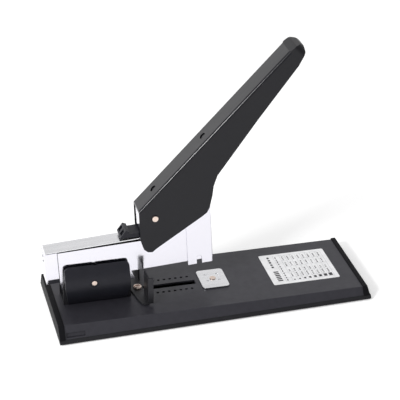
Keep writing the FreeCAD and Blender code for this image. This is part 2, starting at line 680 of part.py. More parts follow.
def make_arm_frame():
    half = S.arm_width / 2
    inner = S.arm_inner
    rim = wall_top()
    points = [(-S.arm_rear, rim), (-S.arm_rear, S.arm_bottom), (-S.lug_rear, -S.lug_drop),
              (S.lug_front, -S.lug_drop), (S.lug_front - 3, S.arm_bottom), (S.arm_front, S.arm_bottom),
              (S.arm_front, S.ear_top), (S.ear_back + 9, S.ear_top), (S.ear_back + 5, S.ear_step),
              (S.ear_back, S.ear_step), (S.ear_back, rim - S.rim_fall)]
    body = slab("frame_body", points, "XZ", -half, half)
    inside = block("frame_inside", (-S.arm_rear - 1, S.arm_front + 1), (-inner, inner),
                   (-S.lug_drop - 1, S.ear_top + 1))
    walls = cut("frame_walls", body, inside)
    floor = block("frame_floor", (-S.arm_rear, S.arm_front - S.exit_gap), (-inner, inner),
                  (S.arm_bottom, S.arm_bottom + S.arm_sheet))
    web = block("frame_web", (S.ear_back, S.ear_back + S.arm_sheet), (-inner, inner),
                (S.ear_web_bottom, S.ear_step))
    hinge = rod("frame_hinge", "Y", -half - 1, half + 1, (0, 0), S.hinge_pin_radius + S.run_gap)
    pivot = rod("frame_pivot", "Y", -half - 1, half + 1, (S.handle_pivot_at, S.handle_pivot_height),
                S.handle_pin_radius)
    latch = rod("frame_latch", "Y", -half - 1, half + 1, (S.latch_pin_at, S.latch_pin_height),
                S.latch_pin_radius)
    floor_cut = rod("floor_relief", "Y", -inner, inner, (0, 0), S.hinge_pin_radius)
    shell = join("frame_shell", walls, cut("frame_floor_cut", floor, floor_cut), web)
    piece("arm_frame", cut("frame_cut", shell, hinge, pivot, latch), ARM)


def make_column_cover():
    inner = S.column_inner
    outer = inner + S.column_sheet
    box = block("column_body", (S.column_rear, S.column_front), (-outer, outer),
                (-S.column_bottom, S.column_top))
    edges = rounded("column_edges", box, S.column_sheet * 0.8,
                    lambda centre, direction: abs(abs(direction.z) - 1) < 1e-4
                    and centre.x > S.column_front.value - 1)
    hollow = block("column_hollow", (S.column_rear - 1, S.column_front - S.column_sheet),
                   (-inner, inner), (-S.column_bottom - 1, S.column_top + 1))
    half = S.window_width / 2
    window = block("column_window", (S.window_at - half, S.window_at + half), (-outer - 1, outer + 1),
                   (-S.column_bottom - 1, S.window_height - S.column_bottom - half))
    arch = rod("column_arch", "Y", -outer - 1, outer + 1,
               (S.window_at, S.window_height - S.column_bottom - half), half)
    piece("column_cover", cut("column_cut", edges, hollow, window, arch), ARM)


def blade_rear():
    return S.column_front - S.column_sheet - S.blade_thick - S.blade_gap * 3.5


def make_staples():
    half = S.staple_crown / 2
    low = S.strip_low
    front = blade_rear() - S.blade_gap
    outer = block("strip_body", (front - S.strip_length, front), (-half, half), (low, low + S.staple_leg))
    inner = block("strip_inside", (front - S.strip_length - 1, front + 1),
                  (-half + S.staple_wire, half - S.staple_wire),
                  (low - 1, low + S.staple_leg - S.staple_wire))
    piece("staple_strip", cut("strip_cut", outer, inner), ARM)


def make_rail():
    inner = S.arm_inner - S.rail_side_gap
    half = S.arm_width / 2
    top = S.arm_top
    under_top = top - S.rail_thick
    broad = half - S.rail_inset
    lid = block("rail_lid", (-S.tail_end + S.rail_thick, S.ear_back - 1), (-broad, broad),
                (under_top, top))
    tongue = block("rail_tongue", (S.ear_back - 2, S.rail_front), (-inner, inner), (under_top, top))
    piece("magazine_cover", join("rail_body", lid, tongue), ARM)
    seam = -S.arm_rear - S.seam_gap
    points = [(-S.tail_end, S.arm_bottom), (-S.tail_end + S.tail_sheet, S.arm_bottom),
              (-S.tail_end + S.tail_sheet, S.tail_bottom), (seam, S.tail_bottom), (seam, under_top),
              (-S.tail_end + S.rail_thick, under_top), (-S.tail_end, under_top - S.rail_thick)]
    body = slab("tail_body", points, "XZ", -half, half)
    hollow = block("tail_hollow", (-S.tail_end + S.tail_sheet, seam + 1),
                   (-half + S.tail_sheet, half - S.tail_sheet), (S.arm_bottom - 1, under_top + 1))
    wide = half - 0.3
    slim = inner
    core = block("tail_core", (-S.tail_end + S.tail_sheet, -S.block_front), (-slim, slim),
                 (S.arm_bottom + S.arm_sheet + 0.3, under_top))
    foot = block("tail_foot", (-S.tail_end + S.tail_sheet, seam), (-wide, wide),
                 (S.arm_bottom, S.tail_bottom - 0.05))
    bore = rod("tail_bore", "X", -S.tail_end, 0, (0, S.rod_height), S.rod_radius)
    piece("tail_block", cut("tail_block_cut", join("tail_block_body", core, foot), bore), ARM)
    screws = []
    for index, level in enumerate((S.tail_screw_low, S.tail_screw_low + S.tail_screw_pitch)):
        screws.append(rod("tail_screw_%d" % index, "X", -S.tail_end - 0.4, -S.tail_end + S.tail_sheet,
                          (0, level), S.screw_radius * 0.8))
    piece("tail_cap", cut("tail_cut", body, hollow, *screws), ARM)
    piece("tail_screws", join("tail_screw_set", *screws), ARM)
    piece("pusher_rod", rod("rod_body", "X", -S.tail_end + S.tail_sheet, S.rod_front,
                            (0, S.rod_height), S.rod_radius), ARM)
    ring = rod("clip_body", "X", S.rod_front - 2, S.rod_front - 1, (0, S.rod_height), S.clip_radius)
    gap = rod("clip_bore", "X", 0, S.rod_front, (0, S.rod_height), S.rod_radius)
    piece("rod_clip", cut("clip_cut", ring, gap), ARM)


def strip_rear():
    return blade_rear() - S.blade_gap - S.strip_length


def make_pusher():
    inner = S.arm_inner - S.rail_side_gap
    front = strip_rear() - 0.3
    body = block("pusher_body", (front - S.pusher_length, front), (-inner, inner),
                 (S.arm_bottom + S.arm_sheet + 0.3, S.pusher_top))
    bore = rod("pusher_bore", "X", 0, S.rod_front, (0, S.rod_height), S.rod_radius + S.run_gap)
    piece("pusher", cut("pusher_cut", body, bore), ARM)
    start = -S.block_front + S.spring_wire
    length = front - S.pusher_length - S.spring_wire - start
    piece("pusher_spring", coil("pusher_coil", "X", start, length, (0, S.rod_height), S.spring_coil,
                                S.spring_wire, 16), ARM)


# ---------------------------------------------------------------- ram

def make_ram():
    rear = blade_rear()
    body = block("ram_body", (S.ram_rear, rear), (-S.ram_half, S.ram_half), (S.ram_low, S.ram_high))
    fork = block("ram_fork", (S.ram_rear - 1, rear + 1), (-S.fork_half, S.fork_half),
                 (S.fork_floor, S.ram_high + 1))
    at = (S.handle_pivot_at + S.roller_at, S.handle_pivot_height + S.roller_rise)
    bore = rod("ram_bore", "Y", -S.ram_half - 1, S.ram_half + 1, at, S.roller_pin)
    half = S.arm_inner - 0.2
    screw_level = (S.ram_low + S.fork_floor) / 2
    holes, screws = [], []
    for side in (-1, 1):
        spot = (S.ram_half * side * 0.55, screw_level)
        holes.append(rod("ram_hole_%d" % (side + 1), "X", rear - 3, rear + S.blade_thick + 1, spot, 0.9))
        shank = rod("blade_screw_%d" % (side + 1), "X", rear - 3, rear + S.blade_thick, spot, 0.9)
        head = rod("blade_screw_head_%d" % (side + 1), "X", rear + S.blade_thick,
                   rear + S.blade_thick + 0.6, spot, 1.7)
        screws.append(join("blade_screw_set_%d" % (side + 1), shank, head))
    piece("ram_block", cut("ram_cut", body, fork, bore, *holes), ARM)
    blade = block("blade_body", (rear, rear + S.blade_thick), (-half, half), (S.blade_low, S.blade_high))
    piece("driver_blade", cut("blade_cut", blade, *holes), ARM)
    piece("blade_screws", join("blade_screw_group", *screws), ARM)
    piece("roller_pin", rod("roller_pin_body", "Y", -S.ram_half, S.ram_half, at, S.roller_pin), ARM)
    wheel = rod("roller_body", "Y", -S.fork_half + 0.2, S.fork_half - 0.2, at, S.roller_radius)
    hole = rod("roller_bore", "Y", -S.fork_half, S.fork_half, at, S.roller_pin + S.run_gap)
    piece("ram_roller", cut("roller_cut", wheel, hole), ARM)


# ---------------------------------------------------------------- latch

def make_latch():
    low = S.arm_top + S.latch_lift
    top = S.latch_top
    rear, crest = S.latch_rear, S.latch_rear + S.latch_slant
    heel = low + S.latch_heel
    points = [(rear, heel), (crest, top + S.latch_rise), (crest + 3, top + 2.2),
              (crest + 2.2, top), (S.latch_front, top), (S.latch_front, low + 0.3),
              (S.latch_pin_at - 4, low), (rear + 3.3, low + 1.3)]
    wide = slab("latch_wide", points, "XZ", -S.latch_half, S.latch_half)
    narrow = slab("latch_narrow", points, "XZ", -S.latch_inner_half, S.latch_inner_half)
    front = block("latch_front_half", (S.ear_back - 0.6, S.latch_front + 1),
                  (-S.latch_half - 1, S.latch_half + 1), (0, S.ear_top))
    body = join("latch_body", cut("latch_pad", wide, front), narrow)
    tools = [rod("latch_bore", "Y", -S.latch_half - 1, S.latch_half + 1,
                 (S.latch_pin_at, S.latch_pin_height), S.latch_pin_radius + S.run_gap)]
    pad_rise = (top + S.latch_rise - heel).value
    slant = math.degrees(math.atan2(pad_rise, S.latch_slant.value))
    middle_x = rear.value + S.latch_slant.value / 2
    middle_z = heel.value + pad_rise / 2
    for side in (-1, 1):
        pocket = add("Part::Box", "latch_recess_%d" % (side + 1))
        bind(pocket, "Length", S.recess_side)
        bind(pocket, "Width", S.recess_side)
        bind(pocket, "Height", S.recess_depth * 2)
        turn = Rotation(Vector(0, -1, 0), slant)
        middle = Vector(middle_x, side * S.latch_half.value / 2, middle_z)
        offset = turn.multVec(Vector(-S.recess_side.value / 2, 0, -S.recess_depth.value))
        corner = middle + offset - Vector(0, S.recess_side.value / 2, 0)
        pocket.Placement = Placement(corner, turn)
        tools.append(pocket)
    piece("latch_lever", cut("latch_cut", body, *tools), ARM)
    half = S.arm_width / 2
    piece("latch_pin", rod("latch_pin_body", "Y", -half, half, (S.latch_pin_at, S.latch_pin_height),
                           S.latch_pin_radius), ARM)


# ---------------------------------------------------------------- handle

def handle_profile():
    """The pressed channel's side view: straight top, deep flanges at the pivot, slim tip."""
    top, tip = S.handle_top, S.handle_tip
    return [(-S.handle_heel, top), (-22.5, -4.3), (-27.4, -13.0), (-27.2, -17.5), (-24.8, -20.6),
            (-20.0, -21.2), (26.5, -31.8), (31.0, -32.4), (35.5, -31.0), (45.4, -24.7), (52.0, -19.6),
            (61.1, -15.2), (tip - 69.3, -6.6), (tip - 14.8, 0.2), (tip - 3.0, 3.6), (tip, 7.6),
            (tip, top - 4.6), (tip - 4.0, top - 1.2), (tip - 11, top)]


def make_handle():
    half = S.handle_width / 2
    inner = half - S.handle_sheet
    side = slab("handle_side", handle_profile(), "XZ", -half, half)
    plan = block("handle_plan", (-S.handle_tip, S.handle_tip), (-half, half),
                 (-S.handle_tip, S.handle_tip))
    plan = rounded("handle_plan_tip", plan, S.tip_corner,
                   lambda centre, direction: abs(abs(direction.z) - 1) < 1e-4 and centre.x > 0)
    side = rounded("handle_nose_round", side, S.nose_radius,
                   lambda centre, direction: abs(abs(direction.y) - 1) < 1e-4
                   and centre.x > S.handle_tip.value - 5 and centre.z > S.nose_radius.value)
    body = common("handle_body", side, plan)
    edge = rounded("handle_edges", body, S.handle_edge,
                   lambda centre, direction: abs(abs(direction.x) - 1) < 1e-4
                   and centre.z > S.handle_top.value - 0.1)
    inside = block("handle_inside", (-S.handle_tip, S.handle_tip - S.handle_sheet * 1.6),
                   (-inner, inner), (-S.handle_tip, S.handle_top - S.handle_sheet))
    inside = rounded("handle_inside_tip", inside, S.tip_corner - S.handle_sheet * 1.2,
                     lambda centre, direction: abs(abs(direction.z) - 1) < 1e-4 and centre.x > 0)
    slope = [(S.handle_tip - 14, S.handle_top + 2), (S.handle_tip + 5, S.handle_top + 2),
             (S.handle_tip + 5, S.handle_top - 10), (S.handle_tip - 1, S.handle_top - 8),
             (S.handle_tip - 7, S.handle_top - S.handle_sheet * 2)]
    inside = cut("handle_inside_shaped", inside,
                 slab("handle_nose", slope, "XZ", -half - 1, half + 1))
    tools = [inside, rod("handle_bore", "Y", -half - 1, half + 1, (0, 0), S.handle_pin_radius + S.run_gap)]
    for index, at in enumerate((S.top_screw_near, S.top_screw_far)):
        tools.append(rod("handle_hole_%d" % index, "Z", 0, S.handle_top + 1, (at, 0),
                         S.top_screw_head + S.top_hole_gap))
    piece("handle_shell", cut("handle_cut", edge, *tools), HANDLE)
    make_handle_inside(inner)


def make_handle_inside(inner):
    ceiling = S.handle_top - S.handle_sheet
    low = ceiling - S.liner_thick
    plate = block("liner_body", (S.liner_rear, S.liner_front), (-S.liner_half, S.liner_half),
                  (low, ceiling))
    rims = []
    for side in (-1, 1):
        near, far = (S.liner_half - S.liner_thick, S.liner_half) if side > 0 else \
            (-S.liner_half, -S.liner_half + S.liner_thick)
        rims.append(block("liner_rim_%d" % (side + 1), (S.liner_front - 34, S.liner_front), (near, far),
                          (low - 7, low)))
    holes = [rod("liner_hole_%d" % index, "Z", 0, S.handle_top + 1, (at, 0), S.top_screw_radius)
             for index, at in enumerate((S.top_screw_near, S.top_screw_far))]
    piece("handle_liner", cut("liner_cut", join("liner_shape", plate, *rims), *holes), HANDLE)
    reach = S.roller_radius + S.cam_gap
    over_x, over_z = reach * sin_of(S.cam_angle), reach * cos_of(S.cam_angle)
    lower = [(over_x + at * cos_of(S.cam_angle), over_z - at * sin_of(S.cam_angle))
             for at in (S.cam_start, S.cam_end)]
    points = [lower[0], lower[1], (lower[1][0] + 1, lower[1][1] + 3), (S.cam_end - 4, low),
              (S.liner_rear, low)]
    cam = slab("cam_body", points, "XZ", -S.cam_half, S.cam_half)
    pilot = rod("cam_pilot", "Z", low - 5, low + 1, (S.top_screw_near, 0), S.top_screw_radius)
    piece("handle_cam", cut("cam_cut", cam, pilot), HANDLE)
    screws = []
    for index, (at, depth) in enumerate(((S.top_screw_near, low - 5), (S.top_screw_far, low - 3))):
        shank = rod("top_screw_%d" % index, "Z", depth, ceiling, (at, 0), S.top_screw_radius)
        head = rod("top_head_%d" % index, "Z", ceiling, ceiling + S.top_head_thick, (at, 0),
                   S.top_screw_head)
        screws.append(join("top_screw_set_%d" % index, shank, head))
    piece("handle_screws", join("top_screws", *screws), HANDLE)


def make_handle_pin():
    at = (S.handle_pivot_at, S.handle_pivot_height)
    reach = S.handle_width / 2 + 0.3
    shank = rod("handle_pin_shank", "Y", -reach, reach, at, S.handle_pin_radius)
    heads = [rod("handle_pin_far", "Y", reach, reach + S.handle_pin_head_thick, at, S.handle_pin_head),
             rod("handle_pin_near", "Y", -reach - S.handle_pin_head_thick, -reach, at, S.handle_pin_head)]
    piece("handle_pin", join("handle_pin_body", shank, *heads), ARM)
    length = (S.arm_inner - S.handle_wire) * 2
    piece("handle_spring", coil("handle_coil", "Y", -length / 2, length, at, S.handle_coil,
                                S.handle_wire, 3.5), ARM)


# ---------------------------------------------------------------- build, test and write

make_base_plate()
make_end_caps()
make_tray()
make_feet()
make_posts()
make_bracket()
make_cover("hinge_cover_near", -1)
make_cover("hinge_cover_far", 1)
make_hinge_pins()
make_hinge_springs()
make_anvil()
make_label()
make_guide()
make_arm_frame()
make_column_cover()
make_staples()
make_rail()
make_pusher()
make_ram()
make_latch()
make_handle()
make_handle_pin()
doc.recompute()

for item in doc.Objects:
    if "Invalid" in item.State or "Error" in item.State:
        raise RuntimeError("%s could not be made: %s" % (item.Name, item.State))
for item in pieces:
    if item.Shape.isNull() or not item.Shape.isValid() or item.Shape.Volume <= 0:
        raise RuntimeError("%s has no valid shape" % item.Label)

os.makedirs("parts", exist_ok=True)
for item in pieces:
    item.Shape.exportStep(os.path.join("parts", item.Label + ".step"))
    box = item.Shape.BoundBox
    print("%-20s solids %d  x %.1f %.1f  y %.1f %.1f  z %.1f %.1f" % (
        item.Label, len(item.Shape.Solids), box.XMin, box.XMax, box.YMin, box.YMax, box.ZMin, box.ZMax))
print("hinge", ARM.Base, "handle pivot", HANDLE.Base, "pieces", len(pieces))
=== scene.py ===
"""Looks of a heavy-duty desk stapler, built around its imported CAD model.

Every piece is in metres, in the model's own frame: +X front, +Y far side, +Z up.
"""

import json
import math
import random

import bmesh
import bpy
from mathutils import Matrix, Vector


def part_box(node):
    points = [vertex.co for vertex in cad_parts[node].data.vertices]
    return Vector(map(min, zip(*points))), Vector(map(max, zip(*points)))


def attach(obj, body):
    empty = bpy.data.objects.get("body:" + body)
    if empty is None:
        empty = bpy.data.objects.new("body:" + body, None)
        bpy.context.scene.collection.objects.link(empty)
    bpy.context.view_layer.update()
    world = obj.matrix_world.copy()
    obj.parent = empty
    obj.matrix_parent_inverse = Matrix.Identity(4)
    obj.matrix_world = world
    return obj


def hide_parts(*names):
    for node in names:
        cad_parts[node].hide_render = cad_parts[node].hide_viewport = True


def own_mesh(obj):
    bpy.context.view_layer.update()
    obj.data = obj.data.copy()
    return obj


MM = 0.001
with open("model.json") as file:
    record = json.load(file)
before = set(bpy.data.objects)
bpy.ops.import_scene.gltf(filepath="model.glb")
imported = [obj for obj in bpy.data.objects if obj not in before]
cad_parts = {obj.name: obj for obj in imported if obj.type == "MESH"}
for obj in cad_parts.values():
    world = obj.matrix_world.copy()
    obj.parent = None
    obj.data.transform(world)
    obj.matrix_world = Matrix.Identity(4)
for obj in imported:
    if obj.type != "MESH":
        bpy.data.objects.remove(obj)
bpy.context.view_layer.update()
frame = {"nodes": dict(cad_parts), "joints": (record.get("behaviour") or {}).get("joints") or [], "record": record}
NODES = frame["nodes"]
SLOTS = {entry["node"]: entry["material_slot"] for entry in frame["record"]["subparts"]}
BODIES = frame["record"]["behaviour"]["bodies"]
BODY_OF = {node: body for body, nodes in BODIES.items() for node in nodes}


# ---------------------------------------------------------------- materials

# The tint of reflections on everything but metal, slightly blue.
COOL = (0.93, 0.92, 1.0, 1)
NOISE_DETAIL = 3.0
NOISE_LOW, NOISE_HIGH = 0.3, 0.7  # most of the noise lies between these
# How noise is stretched: drawn out along X, as on sheet that was brushed, or the same all ways.
ALONG_X = (0.08, 1.0, 1.0)
EVEN = (1.0, 1.0, 1.0)


class Shader:
    """A material with a Principled shader and short calls to wire procedural detail into it."""

    def __init__(self, name, color, rough, metal=0.0, specular=0.5):
        self.material = bpy.data.materials.new(name)
        self.material.use_nodes = True
        self.tree = self.material.node_tree
        self.main = self.tree.nodes["Principled BSDF"]
        self.color = color
        self.rough = rough
        self.main.inputs["Base Color"].default_value = (*color, 1)
        self.main.inputs["Roughness"].default_value = rough
        self.main.inputs["Metallic"].default_value = metal
        self.main.inputs["Specular IOR Level"].default_value = specular
        if metal == 0:
            self.main.inputs["Specular Tint"].default_value = COOL
        self.place = self.tree.nodes.new("ShaderNodeTexCoord").outputs["Object"]
        self.normal = None

    def node(self, kind, **values):
        made = self.tree.nodes.new(kind)
        for key, value in values.items():
            made.inputs[key].default_value = value
        return made

    def wire(self, source, target):
        self.tree.links.new(source, target)

    def noise(self, size, stretch=EVEN):
        """Noise whose grains are about size metres across, stretched per axis."""
        mapping = self.node("ShaderNodeMapping")
        mapping.inputs["Scale"].default_value = stretch
        self.wire(self.place, mapping.inputs["Vector"])
        made = self.node("ShaderNodeTexNoise", Scale=1 / size, Detail=NOISE_DETAIL)
        self.wire(mapping.outputs["Vector"], made.inputs["Vector"])
        return made.outputs["Fac"]

    def spread(self, source, low, high):
        """Turns noise into values from low to high."""
        made = self.node("ShaderNodeMapRange")
        made.inputs["From Min"].default_value = NOISE_LOW
        made.inputs["From Max"].default_value = NOISE_HIGH
        made.inputs["To Min"].default_value = low
        made.inputs["To Max"].default_value = high
        self.wire(source, made.inputs["Value"])
        return made.outputs["Result"]

    def vary_rough(self, size, amount, stretch=EVEN):
        fac = self.noise(size, stretch)
        varied = self.spread(fac, self.rough - amount, self.rough + amount)
        self.wire(varied, self.main.inputs["Roughness"])
        return self

    def vary_color(self, size, amount, stretch=EVEN):
        fac = self.noise(size, stretch)
        ramp = self.tree.nodes.new("ShaderNodeMix")
        ramp.data_type = "RGBA"
        ramp.inputs["A"].default_value = (*[c * (1 - amount) for c in self.color], 1)
        ramp.inputs["B"].default_value = (*[min(1, c * (1 + amount)) for c in self.color], 1)
        self.wire(self.spread(fac, 0, 1), ramp.inputs["Factor"])
        self.wire(ramp.outputs["Result"], self.main.inputs["Base Color"])
        return self

    def bump(self, size, height, strength, stretch=EVEN):
        made = self.node("ShaderNodeBump", Strength=strength, Distance=height)
        self.wire(self.noise(size, stretch), made.inputs["Height"])
        if self.normal is not None:
            self.wire(self.normal, made.inputs["Normal"])
        self.normal = made.outputs["Normal"]
        self.wire(self.normal, self.main.inputs["Normal"])
        return self


def powder_coat(name, color, rough, specular):
    """Paint sprayed on as powder: a fine grain over a soft waviness."""
    shader = Shader(name, color, rough, specular=specular)
    shader.vary_color(size=4 * MM, amount=0.10)
    shader.vary_rough(size=9 * MM, amount=0.05)
    shader.bump(size=0.45 * MM, height=0.05 * MM, strength=0.35)
    return shader.bump(size=2.5 * MM, height=0.05 * MM, strength=0.25)


def satin_coat(name, color, rough, specular):
    """Smooth paint under a thin clear coat."""
    shader = Shader(name, color, rough, specular=specular)
    shader.main.inputs["Coat Weight"].default_value = 0.42
    shader.main.inputs["Coat Roughness"].default_value = 0.14
    shader.vary_color(size=6 * MM, amount=0.08)
    shader.vary_rough(size=11 * MM, amount=0.04)
    return shader.bump(size=2.5 * MM, height=0.03 * MM, strength=0.2)


def moulded(name, color, rough, specular):
    """Plastic, rubber, coated paper or ink, with a fine even grain."""
    shader = Shader(name, color, rough, specular=specular)
    shader.vary_color(size=7 * MM, amount=0.08)
    shader.vary_rough(size=5 * MM, amount=0.05)
    return shader.bump(size=0.3 * MM, height=0.03 * MM, strength=0.4)


def polished(name, color, rough):
    """Plated metal, almost a mirror, with slight waves."""
    shader = Shader(name, color, rough, metal=1.0)
    shader.vary_rough(size=14 * MM, amount=rough * 0.5)
    return shader.bump(size=12 * MM, height=0.06 * MM, strength=0.12)


def brushed(name, color, rough, stretch):
    """Bare or plated metal with the fine marks that rolling or brushing leaves."""
    shader = Shader(name, color, rough, metal=1.0)
    shader.vary_color(size=3 * MM, amount=0.06, stretch=stretch)
    shader.vary_rough(size=1.2 * MM, amount=0.09, stretch=stretch)
    return shader.bump(size=0.5 * MM, height=0.02 * MM, strength=0.35, stretch=stretch)


# The look of each material slot in the record.
LOOKS = {
    "base_paint": powder_coat("base powder coat", (0.020, 0.0195, 0.0245), rough=0.42, specular=0.46),
    "cap_plastic": moulded("end cap plastic", (0.005, 0.005, 0.006), rough=0.55, specular=0.08),
    "tray_plastic": moulded("tray plastic", (0.009, 0.009, 0.010), rough=0.5, specular=0.3),
    "foot_rubber": moulded("rubber", (0.022, 0.022, 0.022), rough=0.75, specular=0.3),
    "chrome_plate": polished("chrome plate", (0.745, 0.735, 0.79), rough=0.12),
    "cover_plastic": moulded("satin black plastic", (0.0075, 0.0077, 0.0110), rough=0.42, specular=0.30),
    "zinc_steel": brushed("zinc plated steel", (0.60, 0.60, 0.62), rough=0.28, stretch=EVEN),
    "spring_steel": brushed("spring steel", (0.22, 0.22, 0.235), rough=0.32, stretch=EVEN),
    "satin_steel": brushed("satin steel", (0.77, 0.77, 0.79), rough=0.26, stretch=ALONG_X),
    "label_paper": moulded("coated label", (0.76, 0.76, 0.77), rough=0.5, specular=0.3),
    "guide_paint": powder_coat("guide paint", (0.010, 0.010, 0.0115), rough=0.40, specular=0.4),
    "brass_screw": brushed("pale rivet bronze", (0.74, 0.61, 0.54), rough=0.28, stretch=EVEN),
    "handle_paint": satin_coat("handle satin coat", (0.0030, 0.0030, 0.0048), rough=0.34, specular=0.10),
    "black_steel": brushed("blackened steel", (0.045, 0.045, 0.048), rough=0.34, stretch=EVEN),
    "cast_block": powder_coat("blackened casting", (0.09, 0.09, 0.095), rough=0.55, specular=0.4),
}
INK = moulded("label ink", (0.035, 0.035, 0.038), rough=0.55, specular=0.3)
FAINT_INK = moulded("pale label ink", (0.42, 0.42, 0.44), rough=0.55, specular=0.3)


# ---------------------------------------------------------------- mesh helpers

WELD = 0.002 * MM
FLAT_DEGREES = 0.6
BEVEL_DEGREES = 28
BEVEL_SEGMENTS = 2
SHARP_DEGREES = 38


def link(obj):
    bpy.context.scene.collection.objects.link(obj)
    return obj


def dress(obj, look):
    obj.data.materials.clear()
    obj.data.materials.append(look.material)
    return obj


def apply_modifiers(obj):
    graph = bpy.context.evaluated_depsgraph_get()
    mesh = bpy.data.meshes.new_from_object(obj.evaluated_get(graph))
    obj.modifiers.clear()
    obj.data = mesh


def smooth(mesh):
    """Shades smooth, except across edges that turn by more than SHARP_DEGREES or border one face."""
    mesh.polygons.foreach_set("use_smooth", [True] * len(mesh.polygons))
    work = bmesh.new()
    work.from_mesh(mesh)
    for edge in work.edges:
        sharp = len(edge.link_faces) != 2 or edge.calc_face_angle(0) > math.radians(SHARP_DEGREES)
        edge.smooth = not sharp
    work.to_mesh(mesh)
    work.free()


def weigh(obj):
    """Keeps large faces flat in the shading, so that only the narrow edge strips turn."""
    weighted = obj.modifiers.new("normals", "WEIGHTED_NORMAL")
    weighted.mode = "FACE_AREA"
    weighted.weight = 100
    weighted.keep_sharp = True
    apply_modifiers(obj)


def clean_copy(node, name):
    """A welded copy of a CAD node's mesh with its flat faces made whole again."""
    mesh = NODES[node].data.copy()
    mesh.name = name
    work = bmesh.new()
    work.from_mesh(mesh)
    bmesh.ops.remove_doubles(work, verts=work.verts, dist=WELD)
    bmesh.ops.dissolve_limit(work, angle_limit=math.radians(FLAT_DEGREES), verts=work.verts,
                             edges=work.edges)
    work.to_mesh(mesh)
    work.free()
    return link(bpy.data.objects.new(name, mesh))


def softened(node, width):
    """Stands for a CAD node with its hard edges broken, as pressed, moulded and plated pieces have."""
    piece = clean_copy(node, node + "_finished")
    bevel = piece.modifiers.new("edges", "BEVEL")
    bevel.width = width
    bevel.segments = BEVEL_SEGMENTS
    bevel.limit_method = "ANGLE"
    bevel.angle_limit = math.radians(BEVEL_DEGREES)
    bevel.miter_outer = "MITER_ARC"
    bevel.use_clamp_overlap = True
    apply_modifiers(piece)
    smooth(piece.data)
    weigh(piece)
    dress(piece, LOOKS[SLOTS[node]])
    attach(piece, BODY_OF[node])
    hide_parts(node)


# ---------------------------------------------------------------- frames read from the model

def unit(axis):
    return Vector(axis).normalized()


JOINTS = {joint["name"]: joint for joint in frame["joints"]}
# The base's top slopes: its own up and its own way along, from two joints that stand on it.
TOP_UP = unit(JOINTS["anvil_turn"]["axis"])
TOP_X = unit(JOINTS["depth_guide_slide"]["axis"])
FAR = Vector((0, 1, 0))


def plate(name, corner, along, across, up, size, look):
    """A thin closed block from a corner, with its three directions and sizes."""
    mesh = bpy.data.meshes.new(name)
    work = bmesh.new()
    points = []
    for c in (0, size[2]):
        for a, b in ((0, 0), (size[0], 0), (size[0], size[1]), (0, size[1])):
            points.append(work.verts.new(corner + along * a + across * b + up * c))
    for face in ((3, 2, 1, 0), (4, 5, 6, 7), (0, 1, 5, 4), (1, 2, 6, 5), (2, 3, 7, 6), (3, 0, 4, 7)):
        work.faces.new([points[i] for i in face])
    work.to_mesh(mesh)
    work.free()
    return dress(link(bpy.data.objects.new(name, mesh)), look)


def merged(name, parts, body):
    """Joins pieces of one look into one object that rides on a body."""
    work = bmesh.new()
    for part in parts:
        work.from_mesh(part.data)
    mesh = bpy.data.meshes.new(name)
    work.to_mesh(mesh)
    work.free()
    mesh.materials.append(parts[0].data.materials[0])
    for part in parts:
        bpy.data.objects.remove(part)
    piece = link(bpy.data.objects.new(name, mesh))
    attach(piece, body)


# ---------------------------------------------------------------- label print

INK_THICK = 0.012 * MM
INK_LIFT = 0.003 * MM
# Places and sizes on the label are in millimetres, from its rear near corner.
RULE_WIDTH = 0.22
TABLE_REAR, TABLE_NEAR, TABLE_FAR = 12.0, 3.2, 46.6
FIRST_ROW, ROW_PITCH, ROWS = 19.6, 4.75, 8
RULE_BEFORE_ROW = 1.45
BLOCK_START, BLOCK_SHIFT = 4.3, 0.6
COLUMN_RULES = (TABLE_NEAR, 9.0, 17.8, 27.0, 37.4, TABLE_FAR)
DASH_COLUMNS = ((10.2, 3), (19.0, 2), (28.2, 3), (38.6, 3))  # where each starts, and its dashes
DASH_PITCH, DASH_LENGTH, DASH_JITTER = 2.3, 1.15, 0.2


